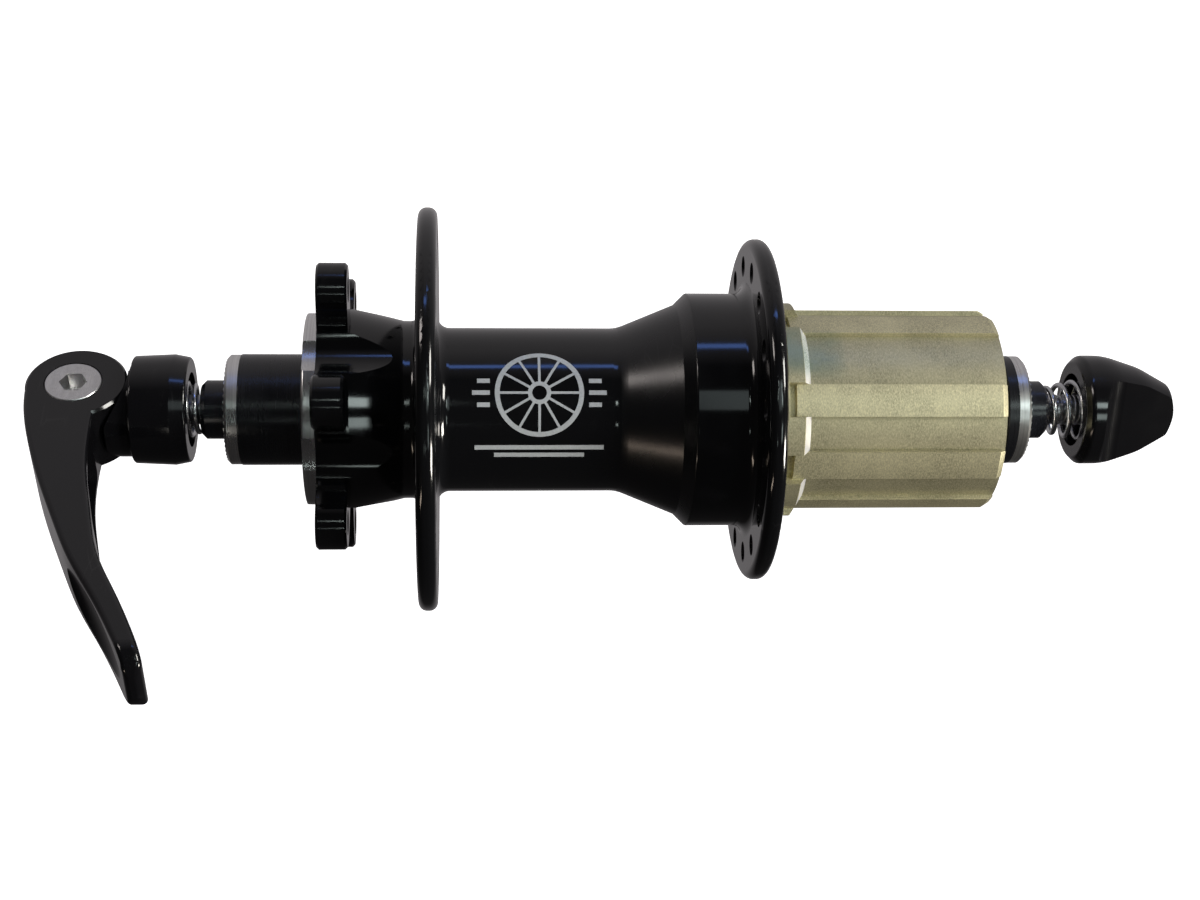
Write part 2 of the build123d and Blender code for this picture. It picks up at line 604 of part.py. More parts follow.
def skewer_nut():
    """Bullet-shaped nut with two scooped finger flats and a spring recess."""
    left, right = NUT_X
    length = right - left
    body = turned(
        (left, SPRING_RECESS_R),
        (left, NUT_R - 1.1, 0.5),
        (left + 1.1, NUT_R, 1.0),
        (left + 0.30 * length, NUT_R, 11.0),
        (left + 0.66 * length, 0.785 * NUT_R, 13.0),
        (left + 0.955 * length, 0.485 * NUT_R, 1.4),
        (right, 0.29 * NUT_R, 0.8),
        (right, 0),
        (left + SPRING_RECESS_DEPTH, 0),
        (left + SPRING_RECESS_DEPTH, SPRING_RECESS_R),
    )
    insert_room = tube(left + SPRING_RECESS_DEPTH - 1, right - NUT_INSERT_TO_TIP, NUT_INSERT_R)
    flat_from, flat_to = left + 0.19 * length, right + 1
    scoop = make_face([
        ThreePointArc((flat_from, NUT_R + 0.5), (flat_from + 1.1, 6.2), (flat_from + 4.2, 4.7)),
        Line((flat_from + 4.2, 4.7), (flat_to, 2.6)),
        Line((flat_to, 2.6), (flat_to, NUT_R + 0.5)),
        Line((flat_to, NUT_R + 0.5), (flat_from, NUT_R + 0.5)),
    ])
    cutter = extrude(scoop, NUT_R + 2, both=True)
    flat_turn = 180 + 25
    return body - insert_room - around(cutter, 2, flat_turn)


def nut_insert():
    """Threaded steel insert pressed into the nut."""
    start = NUT_X[0] + SPRING_RECESS_DEPTH
    blind = tube(start, NUT_X[1] - NUT_INSERT_TO_TIP, NUT_INSERT_R)
    return blind - tube(start - 1, NUT_X[1] - NUT_INSERT_TO_TIP - 1, SKEWER_ROD_R + SEAT)


# ---- nodes ------------------------------------------------------------------------------------
def collect():
    """Every node of the hub by name."""
    nodes = {
        "hub_shell": hub_shell(),
        "ratchet_ring": ratchet_ring(),
        "axle": axle(),
        "left_end_cap": left_end_cap(),
        "left_end_ring": end_ring(-HALF_SPAN, LEFT_RING_INNER_X),
        "drive_spacer": tube(RIGHT_BEARING_END_X, INNER_BEARING_X, BEARING_SEAT_R + 1.4,
                             BEARING_SEAT_R),
        "freehub_spacer": tube(INNER_BEARING_END_X, OUTER_BEARING_X, BEARING_SEAT_R + 1.2,
                               BEARING_SEAT_R),
        "right_spacer": right_spacer(),
        "right_end_ring": end_ring(HALF_SPAN, RIGHT_SPACER_END_X),
        "freehub_body": freehub_body(),
        "freehub_seal": freehub_seal(),
        "bearing_circlip": bearing_circlip(),
        "pawl_springs": pawl_springs(),
        "skewer_rod": skewer_rod(),
        "pivot_barrel": pivot_barrel(),
        "quick_release_lever": lever(),
        "cam_housing": cam_housing(),
        "skewer_nut": skewer_nut(),
        "nut_insert": nut_insert(),
        "left_spring": conical_spring(-AXLE_HALF_LENGTH, HOUSING_X[1] - SPRING_RECESS_DEPTH),
        "right_spring": conical_spring(AXLE_HALF_LENGTH, NUT_X[0] + SPRING_RECESS_DEPTH),
    }
    for i, pawl in enumerate(pawls(), start=1):
        nodes[f"pawl_{i}"] = pawl
    shell_ball = (SHELL_BEARING_OD_R - BEARING_SEAT_R) * 0.27
    freehub_ball = (FREEHUB_BEARING_OD_R - BEARING_SEAT_R) * 0.26
    bearings = {
        "left_shell": (LEFT_BEARING_X, SHELL_BEARING_WIDTH, SHELL_BEARING_OD_R, shell_ball, 12),
        "right_shell": (RIGHT_SHELL_BEARING_X, SHELL_BEARING_WIDTH, SHELL_BEARING_OD_R,
                        shell_ball, 12),
        "inner_freehub": (INNER_BEARING_X, FREEHUB_BEARING_WIDTH, FREEHUB_BEARING_OD_R,
                          freehub_ball, 15),
        "outer_freehub": (OUTER_BEARING_X, FREEHUB_BEARING_WIDTH, FREEHUB_BEARING_OD_R,
                          freehub_ball, 15),
    }
    for name, sizes in bearings.items():
        parts = bearing(*sizes)
        for piece, shape in zip(("outer_race", "inner_race", "balls", "seals"), parts):
            nodes[f"{name}_{piece}"] = shape
    return nodes


os.makedirs("parts", exist_ok=True)
for name, shape in collect().items():
    whole = Compound(children=list(shape)) if isinstance(shape, list) else shape
    export_step(whole, f"parts/{name}.step")
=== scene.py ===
"""Looks of a rear bicycle hub with a disc rotor mount, a freehub body and a quick-release skewer.

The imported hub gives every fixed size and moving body. This script dresses its nodes and adds the fine
pieces that sit on them: end-ring serrations, thread crests, seal lips and the printed wheel mark.
Lengths are in millimetres until MM turns them into the scene's metres.
"""
from __future__ import annotations

import json
import logging
import math
from dataclasses import dataclass
from enum import Enum
from typing import Callable, Sequence

import bmesh
import bpy
from mathutils import Matrix, Vector

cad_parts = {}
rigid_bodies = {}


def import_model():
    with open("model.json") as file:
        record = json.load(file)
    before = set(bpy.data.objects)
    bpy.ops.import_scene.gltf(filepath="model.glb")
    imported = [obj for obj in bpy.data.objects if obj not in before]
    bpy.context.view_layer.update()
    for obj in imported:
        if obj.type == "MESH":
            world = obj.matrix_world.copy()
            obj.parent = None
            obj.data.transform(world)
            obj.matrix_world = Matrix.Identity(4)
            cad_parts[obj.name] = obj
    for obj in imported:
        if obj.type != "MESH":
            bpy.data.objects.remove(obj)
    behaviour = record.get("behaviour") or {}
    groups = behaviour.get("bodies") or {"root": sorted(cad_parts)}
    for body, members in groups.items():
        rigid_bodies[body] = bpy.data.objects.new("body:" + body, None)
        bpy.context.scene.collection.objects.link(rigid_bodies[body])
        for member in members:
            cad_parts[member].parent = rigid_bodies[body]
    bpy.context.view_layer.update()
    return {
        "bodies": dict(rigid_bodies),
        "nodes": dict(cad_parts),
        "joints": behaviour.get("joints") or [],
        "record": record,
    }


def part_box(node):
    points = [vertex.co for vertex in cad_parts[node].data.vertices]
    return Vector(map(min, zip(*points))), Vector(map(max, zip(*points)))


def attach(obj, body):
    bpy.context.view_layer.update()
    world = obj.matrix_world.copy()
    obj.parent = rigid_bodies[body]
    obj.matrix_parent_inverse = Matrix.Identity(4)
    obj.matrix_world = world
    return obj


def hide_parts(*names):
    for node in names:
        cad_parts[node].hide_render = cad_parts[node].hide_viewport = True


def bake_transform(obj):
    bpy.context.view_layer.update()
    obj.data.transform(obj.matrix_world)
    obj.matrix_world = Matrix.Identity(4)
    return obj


MM = 0.001
PER_METRE = 1000.0
LOG = logging.getLogger("hub")
Colour = tuple[float, float, float]


class Body(Enum):
    """The rigid bodies that the pieces ride on."""

    AXLE = "axle_set"
    SHELL = "shell"
    FREEHUB = "freehub"
    SKEWER = "skewer"


# ---- node tree helpers ------------------------------------------------------------------------
class Tree:
    """Thin wrapper that adds and joins nodes of one shader or geometry tree."""

    def __init__(self, tree: bpy.types.NodeTree) -> None:
        """Wrap the tree that the nodes go into."""
        self.tree = tree

    def add(self, kind: str, inputs: dict | None = None, **settings: object) -> bpy.types.Node:
        """Add a node, set its properties, then fill or join its inputs.

        Args:
            kind: the node's type name.
            inputs: socket name or index to a plain value or to another node's output socket.
            settings: properties of the node.

        Returns:
            The new node.
        """
        node = self.tree.nodes.new(kind)
        for name, value in settings.items():
            setattr(node, name, value)
        for key, value in (inputs or {}).items():
            if isinstance(value, bpy.types.NodeSocket):
                self.tree.links.new(value, node.inputs[key])
            else:
                node.inputs[key].default_value = value
        return node

    def maths(self, operation: str, *values: object) -> bpy.types.NodeSocket:
        """Join a Math node.

        Args:
            operation: the Math node's operation.
            values: numbers or sockets, in order.

        Returns:
            The result's socket.
        """
        return self.add("ShaderNodeMath", dict(enumerate(values)), operation=operation).outputs[0]

    def blend(self, factor: object, first: object, second: object) -> bpy.types.NodeSocket:
        """Mix two colours.

        Args:
            factor: number or socket from 0 to 1.
            first: colour or socket at 0.
            second: colour or socket at 1.

        Returns:
            The mixed colour's socket.
        """
        node = self.add("ShaderNodeMix", {0: factor, 6: rgba(first), 7: rgba(second)}, data_type="RGBA")
        return node.outputs[2]

    def scale(self, value: object, low: object, high: object, start: float = 0.0,
              end: float = 1.0) -> bpy.types.NodeSocket:
        """Map a value's range onto another, clamped.

        Args:
            value: socket to read.
            low: result at start.
            high: result at end.
            start: value that gives low.
            end: value that gives high.

        Returns:
            The mapped value's socket.
        """
        return self.add("ShaderNodeMapRange", {0: value, 1: start, 2: end, 3: low, 4: high}).outputs[0]

    def between(self, value: object, limits: tuple[float, float]) -> bpy.types.NodeSocket:
        """One where the value lies between two limits, and zero elsewhere."""
        return self.maths("MULTIPLY", self.maths("GREATER_THAN", value, limits[0]),
                          self.maths("LESS_THAN", value, limits[1]))

    def hub_axes(self) -> tuple[object, bpy.types.NodeSocket]:
        """The three object coordinates, and the distance from the hub axis, in metres."""
        spot = self.add("ShaderNodeTexCoord").outputs["Object"]
        axes = self.add("ShaderNodeSeparateXYZ", {0: spot}).outputs
        square = self.maths("ADD", self.maths("MULTIPLY", axes[1], axes[1]),
                            self.maths("MULTIPLY", axes[2], axes[2]))
        return axes, self.maths("SQRT", square)

    def group(self, tree: bpy.types.NodeTree, **inputs: object) -> bpy.types.Node:
        """Place a node group with its own values.

        Args:
            tree: the group's tree.
            inputs: socket name, with underscores for spaces, to value or socket.

        Returns:
            The group node.
        """
        node = self.tree.nodes.new("ShaderNodeGroup")
        node.node_tree = tree
        for key, value in inputs.items():
            socket = node.inputs[key.replace("_", " ")]
            if isinstance(value, bpy.types.NodeSocket):
                self.tree.links.new(value, socket)
            else:
                socket.default_value = value
        return node


def rgba(value: object) -> object:
    """Colour with an alpha of one, or the socket as it is."""
    return (*value, 1.0) if isinstance(value, tuple) and len(value) == 3 else value


def new_group(name: str, inputs: dict[str, float], outputs: Sequence[str]) -> tuple[Tree, dict, dict]:
    """Start a shader node group with number inputs and number outputs.

    Args:
        name: the group's name.
        inputs: input name to default value.
        outputs: names of the outputs.

    Returns:
        The tree, its input sockets by name, and its output sockets by name.
    """
    tree = bpy.data.node_groups.new(name, "ShaderNodeTree")
    for key, value in inputs.items():
        socket = tree.interface.new_socket(key, in_out="INPUT", socket_type="NodeSocketFloat")
        socket.default_value = value
    for key in outputs:
        tree.interface.new_socket(key, in_out="OUTPUT", socket_type="NodeSocketFloat")
    entry, leave = tree.nodes.new("NodeGroupInput"), tree.nodes.new("NodeGroupOutput")
    return Tree(tree), dict(entry.outputs.items()), dict(leave.inputs.items())


# ---- shared surface effects -------------------------------------------------------------------
@dataclass(frozen=True)
class SurfaceEffects:
    """The shader node groups that the finishes share."""

    turned: bpy.types.NodeTree
    handled: bpy.types.NodeTree
    grain: bpy.types.NodeTree
    place: bpy.types.NodeTree

    @classmethod
    def build(cls) -> "SurfaceEffects":
        """Build every group once."""
        return cls(cls._turned(), cls._handled(), cls._grain(), cls._place())

    @staticmethod
    def _place() -> bpy.types.NodeTree:
        """Distance along the hub axis and from it, in millimetres, and the turn about it."""
        tree, _, out = new_group("place_on_hub", {}, ("Along", "Radius", "Turn"))
        axes, radius = tree.hub_axes()
        tree.tree.links.new(tree.maths("MULTIPLY", axes[0], PER_METRE), out["Along"])
        tree.tree.links.new(tree.maths("MULTIPLY", radius, PER_METRE), out["Radius"])
        tree.tree.links.new(tree.maths("ARCTAN2", axes[2], axes[1]), out["Turn"])
        return tree.tree

    @staticmethod
    def _turned() -> bpy.types.NodeTree:
        """Fine rings left by a lathe tool: they follow x on a barrel and the radius on a face."""
        tree, given, out = new_group(
            "turned_marks", {"Rings per mm": 6.0, "Waver": 0.4}, ("Height", "Streak"))
        axes, radius = tree.hub_axes()
        rings_per_metre = tree.maths("MULTIPLY", given["Rings per mm"], PER_METRE)
        along = tree.maths("MULTIPLY", axes[0], rings_per_metre)
        outward = tree.maths("MULTIPLY", radius, rings_per_metre)
        turn = tree.maths("MULTIPLY", tree.maths("ARCTAN2", axes[2], axes[1]), given["Waver"])
        fine = tree.add("ShaderNodeCombineXYZ", {0: along, 1: outward, 2: turn}).outputs[0]
        rings = tree.add("ShaderNodeTexNoise", {"Vector": fine, "Scale": 1.0, "Detail": 3.0,
                                                "Roughness": 0.6}).outputs[0]
        broad = tree.add("ShaderNodeTexNoise", {"Vector": fine, "Scale": 0.13, "Detail": 1.0}).outputs[0]
        tree.tree.links.new(rings, out["Height"])
        tree.tree.links.new(tree.maths("MULTIPLY", rings, tree.maths("ADD", broad, 0.5)), out["Streak"])
        return tree.tree

    @staticmethod
    def _handled() -> bpy.types.NodeTree:
        """Faint smudges and sparse fine scratches from handling."""
        tree, given, out = new_group(
            "handling_marks", {"Smudge size": 90.0, "Scratch size": 420.0}, ("Smudge", "Scratch"))
        spot = tree.add("ShaderNodeTexCoord").outputs["Object"]
        smudge = tree.add("ShaderNodeTexNoise", {"Vector": spot, "Scale": given["Smudge size"],
                                                 "Detail": 4.0, "Roughness": 0.55}).outputs[0]
        bent = tree.add("ShaderNodeVectorMath", {0: spot, 1: (1.0, 0.17, 0.31)}, operation="MULTIPLY")
        lines = tree.add("ShaderNodeTexVoronoi", {"Vector": bent.outputs[0], "Scale": given["Scratch size"]},
                         feature="DISTANCE_TO_EDGE").outputs[0]
        rare = tree.scale(smudge, 0.0, 1.0, 0.58, 0.66)
        scratch = tree.maths("MULTIPLY", tree.scale(lines, 1.0, 0.0, 0.0, 0.03), rare)
        tree.tree.links.new(tree.scale(smudge, 0.0, 1.0, 0.35, 0.7), out["Smudge"])
        tree.tree.links.new(scratch, out["Scratch"])
        return tree.tree

    @staticmethod
    def _grain() -> bpy.types.NodeTree:
        """Even speckle of a satin or blasted surface, stretched across the part's length."""
        tree, given, out = new_group(
            "satin_grain", {"Grain size": 3000.0, "Stretch": 1.0}, ("Grain", "Cloud"))
        spot = tree.add("ShaderNodeTexCoord").outputs["Object"]
        axes = tree.add("ShaderNodeSeparateXYZ", {0: spot}).outputs
        drawn = tree.add("ShaderNodeCombineXYZ", {
            0: tree.maths("MULTIPLY", axes[0], given["Stretch"]), 1: axes[1], 2: axes[2]}).outputs[0]
        grain = tree.add("ShaderNodeTexNoise", {"Vector": drawn, "Scale": given["Grain size"],
                                                "Detail": 2.0, "Roughness": 0.7}).outputs[0]
        cloud = tree.add("ShaderNodeTexNoise", {"Vector": spot, "Scale": 110.0, "Detail": 3.0}).outputs[0]
        tree.tree.links.new(grain, out["Grain"])
        tree.tree.links.new(cloud, out["Cloud"])
        return tree.tree


# ---- finishes ---------------------------------------------------------------------------------
@dataclass(frozen=True)
class Finish:
    """A surface finish: fixed shader values here, and the varying ones drawn by paint().

    Attributes:
        name: the material's name.
        colour: base colour.
        metallic: 0 for a lacquer or plastic, 1 for bare metal.
        roughness: middle value of the gloss.
        specular: strength of the mirror reflection at normal incidence.
    """

    name: str
    colour: Colour
    metallic: float = 1.0
    roughness: float = 0.3
    specular: float = 0.5

    def material(self, effects: SurfaceEffects) -> bpy.types.Material:
        """Make the material.

        Args:
            effects: the shared node groups.

        Returns:
            The finished material.
        """
        made = bpy.data.materials.new(self.name)
        made.use_nodes = True
        made.diffuse_color = (*self.colour, 1.0)
        tree = Tree(made.node_tree)
        shader = made.node_tree.nodes["Principled BSDF"]
        shader.inputs["Base Color"].default_value = rgba(self.colour)
        shader.inputs["Metallic"].default_value = self.metallic
        shader.inputs["Roughness"].default_value = self.roughness
        shader.inputs["Specular IOR Level"].default_value = self.specular
        self.paint(tree, shader, effects)
        return made

    def paint(self, tree: Tree, shader: bpy.types.Node, effects: SurfaceEffects) -> None:
        """Draw the varying colour, gloss and relief.

        Args:
            tree: the material's tree.
            shader: its Principled BSDF.
            effects: the shared node groups.
        """
        raise NotImplementedError

    @staticmethod
    def relief(tree: Tree, shader: bpy.types.Node, height: bpy.types.NodeSocket, depth: float) -> None:
        """Join a bump whose height runs from 0 to 1 and whose depth is in millimetres."""
        bump = tree.add("ShaderNodeBump", {"Height": height, "Distance": depth * MM, "Strength": 1.0})
        tree.tree.links.new(bump.outputs[0], shader.inputs["Normal"])


@dataclass(frozen=True)
class GlossAnodised(Finish):
    """Polished and black anodised aluminium with faint tool rings.

    Attributes:
        rings: tool rings in each millimetre.
        depth: depth of the rings in millimetres.
        bare_before: metal to this x is left bare, in millimetres.
        coarse: where deeper tool rings start and end along x, in millimetres.
    """

    rings: float = 5.0
    depth: float = 0.0006
    bare_before: float = -1000.0
    coarse: tuple[float, float] = (0.0, 0.0)

    def paint(self, tree: Tree, shader: bpy.types.Node, effects: SurfaceEffects) -> None:
        """Dark dye that pales a little in the tool rings, and a bare register where there is one."""
        rings = tree.group(effects.turned, Rings_per_mm=self.rings)
        marks = tree.group(effects.handled)
        place = tree.group(effects.place)
        bare = tree.maths("LESS_THAN", place.outputs["Along"], self.bare_before)
        worn = tree.maths("MULTIPLY", marks.outputs["Scratch"], 0.35)
        lifted = tuple(0.03 + 1.6 * part for part in self.colour)
        dyed = tree.blend(worn, self.colour, lifted)
        bright = tree.blend(tree.scale(rings.outputs["Streak"], 0.0, 1.0, 0.2, 0.9),
                            (0.60, 0.60, 0.60), (0.86, 0.86, 0.85))
        tree.tree.links.new(tree.blend(bare, dyed, bright), shader.inputs["Base Color"])
        tree.tree.links.new(tree.maths("MAXIMUM", bare, self.metallic), shader.inputs["Metallic"])
        rough_cut = tree.between(place.outputs["Along"], self.coarse)
        gloss = tree.maths("ADD", tree.scale(marks.outputs["Smudge"], 0.0, 0.05),
                           tree.maths("MULTIPLY", tree.maths("MAXIMUM", bare, rough_cut), 0.16))
        tree.tree.links.new(tree.maths("ADD", gloss, self.roughness), shader.inputs["Roughness"])
        height = tree.maths("MULTIPLY", rings.outputs["Height"],
                            tree.maths("MULTIPLY_ADD", rough_cut, 4.0, 1.0))
        self.relief(tree, shader, height, self.depth)


@dataclass(frozen=True)
class TurnedMetal(Finish):
    """Bare or plated metal with visible lathe rings.

    Attributes:
        rings: tool rings in each millimetre.
        depth: depth of the rings in millimetres.
        shade: how much the colour darkens in the rings.
    """

    rings: float = 7.0
    depth: float = 0.0015
    shade: float = 0.35

    def paint(self, tree: Tree, shader: bpy.types.Node, effects: SurfaceEffects) -> None:
        """Rings in the colour and the gloss, with smudges over them."""
        rings = tree.group(effects.turned, Rings_per_mm=self.rings)
        marks = tree.group(effects.handled)
        dark = tuple(part * (1 - self.shade) for part in self.colour)
        streaked = tree.blend(tree.scale(rings.outputs["Streak"], 0.0, 1.0, 0.2, 0.8), dark, self.colour)
        tree.tree.links.new(streaked, shader.inputs["Base Color"])
        gloss = tree.maths("ADD", tree.scale(rings.outputs["Height"], -0.06, 0.06),
                           tree.scale(marks.outputs["Smudge"], 0.0, 0.10))
        tree.tree.links.new(tree.maths("ADD", gloss, self.roughness), shader.inputs["Roughness"])
        self.relief(tree, shader, rings.outputs["Height"], self.depth)


@dataclass(frozen=True)
class ChampagneAlloy(Finish):
    """Satin champagne anodised freehub alloy, with a green tint in a narrow band facing up and forward near
    its inboard end.

    Attributes:
        slope: where the bare slopes of the grooves start and end along x, in millimetres.
        slope_radius: the slope lies below this radius.
        ridge_from: x where the ridges start; before it the painted shade covers everything.
        ridge_radius: the radii between which the ridges' tops lie; outside them the freehub gets painted
            shade.
        band_fade: x where the green band starts to fade, and where it ends.
        band_turn: turn that brings the band's middle to a quarter turn, in radians.
    """

    slope: tuple[float, float] = (27.15, 28.55)
    slope_radius: float = 18.1
    ridge_from: float = 25.9
    ridge_radius: tuple[float, float] = (16.9, 17.3)
    band_fade: tuple[float, float] = (32.5, 35.0)
    band_turn: float = 5.31

    def paint(self, tree: Tree, shader: bpy.types.Node, effects: SurfaceEffects) -> None:
        """Grained colour, bright cut slopes, painted shade off the ridge tops, and the green band near the
        inboard end.
        """
        rings = tree.group(effects.turned, Rings_per_mm=4.0)
        satin = tree.group(effects.grain, Grain_size=2600.0, Stretch=2.2)
        place = tree.group(effects.place)
        along, radius = place.outputs["Along"], place.outputs["Radius"]
        dark = tuple(part * 0.44 for part in self.colour)
        grained = tree.blend(tree.scale(satin.outputs["Grain"], 0.0, 1.0, 0.3, 0.7), dark, self.colour)
        pale = tuple(min(1.0, part * 1.12) for part in self.colour)
        grained = tree.blend(tree.scale(satin.outputs["Cloud"], 0.0, 0.35, 0.4, 0.65), grained, pale)
        # Painted shade: everything but the ridge tops is darkened towards dark brown, so the grooves read
        # darker than the ridges.
        on_ridge = tree.maths("MULTIPLY", tree.between(radius, self.ridge_radius),
                              tree.maths("GREATER_THAN", along, self.ridge_from))
        grained = tree.blend(tree.scale(on_ridge, 0.22, 0.0), grained, (0.16, 0.15, 0.10))
        on_slope = tree.maths("MULTIPLY", tree.between(along, self.slope),
                              tree.maths("LESS_THAN", radius, self.slope_radius))
        facing = tree.add("ShaderNodeSeparateXYZ", {
            0: tree.add("ShaderNodeNewGeometry").outputs["Normal"]}).outputs[0]
        on_slope = tree.maths("MULTIPLY", on_slope, tree.maths("GREATER_THAN", facing, 0.4))
        cut = tree.blend(on_slope, grained, (0.56, 0.56, 0.58))
        tree.tree.links.new(tree.scale(on_slope, self.metallic, 0.15), shader.inputs["Metallic"])
        # A green tint, a little glossier, in a narrow band facing up and forward near the inboard end.
        near_base = tree.scale(along, 1.0, 0.0, *self.band_fade)
        turn = tree.maths("ADD", place.outputs["Turn"], self.band_turn)
        upper = tree.scale(tree.maths("SINE", turn), 0.0, 1.0, 0.955, 0.985)
        green_band = tree.maths("MULTIPLY", tree.maths("MULTIPLY", near_base, upper),
                            tree.scale(satin.outputs["Cloud"], 0.35, 1.0, 0.38, 0.62))
        tinted = tree.blend(tree.maths("MULTIPLY", green_band, 0.55), cut, (0.16, 0.27, 0.22))
        tree.tree.links.new(tinted, shader.inputs["Base Color"])
        gloss = tree.maths("SUBTRACT", tree.scale(satin.outputs["Grain"], self.roughness - 0.06,
                                                  self.roughness + 0.08),
                           tree.maths("MULTIPLY", on_slope, 0.14))
        tree.tree.links.new(tree.maths("SUBTRACT", gloss, tree.maths("MULTIPLY", green_band, 0.04)),
                            shader.inputs["Roughness"])
        height = tree.maths("ADD", tree.maths("MULTIPLY", satin.outputs["Grain"], 0.7),
                            tree.maths("MULTIPLY", rings.outputs["Height"], 0.5))
        self.relief(tree, shader, height, 0.006)


@dataclass(frozen=True)
class GrainedDark(Finish):
    """Rubber or satin black with a fine even grain.

    Attributes:
        depth: depth of the grain in millimetres.
    """

    depth: float = 0.004

    def paint(self, tree: Tree, shader: bpy.types.Node, effects: SurfaceEffects) -> None:
        """Even grain in the colour, gloss and relief."""
        satin = tree.group(effects.grain, Grain_size=3400.0)
        pale = tuple(part * 1.7 + 0.004 for part in self.colour)
        tree.tree.links.new(tree.blend(satin.outputs["Grain"], self.colour, pale),
                            shader.inputs["Base Color"])
        tree.tree.links.new(tree.scale(satin.outputs["Cloud"], self.roughness - 0.06,
                                       self.roughness + 0.08), shader.inputs["Roughness"])
        self.relief(tree, shader, satin.outputs["Grain"], self.depth)


class Dress(Enum):
    """Every finish of the hub by its record slot."""

    SHELL = GlossAnodised("shell_black", (0.004, 0.0042, 0.005), 0.0, 0.085, 0.55,
                          rings=3.2, depth=0.0006, bare_before=-52.22, coarse=(-2.4, 9.4))
    SKEWER_PARTS = GlossAnodised("skewer_black", (0.0045, 0.0045, 0.0055), 0.0, 0.12, 0.5,
                                 rings=4.0, depth=0.0004)
    AXLE = TurnedMetal("axle_black", (0.012, 0.013, 0.018), 0.0, 0.2, 0.6, rings=5.0, depth=0.0008,
                       shade=0.3)
    CAP = TurnedMetal("cap_black", (0.008, 0.0085, 0.011), 0.0, 0.22, 0.55, rings=4.0, depth=0.0008,
                      shade=0.3)
    RING = TurnedMetal("end_ring_bright", (0.83, 0.83, 0.82), 1.0, 0.26, rings=6.0, depth=0.002)
    FREEHUB = ChampagneAlloy("freehub_champagne", (0.74, 0.69, 0.45), 0.6, 0.44)
    SEAL = GrainedDark("seal_rubber", (0.010, 0.010, 0.011), 0.0, 0.55, 0.4)
    HARD_STEEL = TurnedMetal("ground_steel", (0.36, 0.36, 0.37), 1.0, 0.3, rings=9.0)
    BEARING = TurnedMetal("bearing_steel", (0.66, 0.66, 0.67), 1.0, 0.14, rings=9.0, depth=0.0005)
    ZINC = TurnedMetal("zinc_steel", (0.62, 0.63, 0.66), 1.0, 0.24, rings=8.0, depth=0.001)
    SPRING = TurnedMetal("spring_wire", (0.68, 0.69, 0.71), 1.0, 0.2, rings=10.0, depth=0.0006)
    PIN = TurnedMetal("pivot_pin_steel", (0.80, 0.80, 0.80), 1.0, 0.3, rings=8.0, depth=0.001)
    PRINT = GrainedDark("printed_mark", (0.34, 0.36, 0.38), 0.0, 0.4, 0.5, depth=0.001)


SLOT_DRESS = {
    "gloss_black": Dress.SHELL,
    "black_axle": Dress.AXLE,
    "black_cap": Dress.CAP,
    "bright_ring": Dress.RING,
    "champagne_alloy": Dress.FREEHUB,
    "seal_rubber": Dress.SEAL,
    "hard_steel": Dress.HARD_STEEL,
    "bearing_steel": Dress.BEARING,
    "zinc_steel": Dress.ZINC,
    "spring_steel": Dress.SPRING,
    "bright_pin": Dress.PIN,
}


class Wardrobe:
    """Makes each material once and puts it on nodes and pieces."""

    def __init__(self) -> None:
        """Build the shared effects."""
        self.effects = SurfaceEffects.build()
        self.made: dict[Dress, bpy.types.Material] = {}

    def material(self, dress: Dress) -> bpy.types.Material:
        """Material of a finish, made on first use."""
        if dress not in self.made:
            self.made[dress] = dress.value.material(self.effects)
        return self.made[dress]

    def put_on(self, piece: bpy.types.Object, dress: Dress) -> None:
        """Make a finish a piece's only material."""
        piece.data.materials.clear()
        piece.data.materials.append(self.material(dress))

    def dress_nodes(self, frame: dict) -> None:
        """Dress every CAD node by its record slot.
        """
        gloss_skewer = {"quick_release_lever", "cam_housing", "skewer_nut"}
        for part in frame["record"]["subparts"]:
            dress = SLOT_DRESS[part["material_slot"]]
            if part["node"] in gloss_skewer:
                dress = Dress.SKEWER_PARTS
            self.put_on(frame["nodes"][part["node"]], dress)


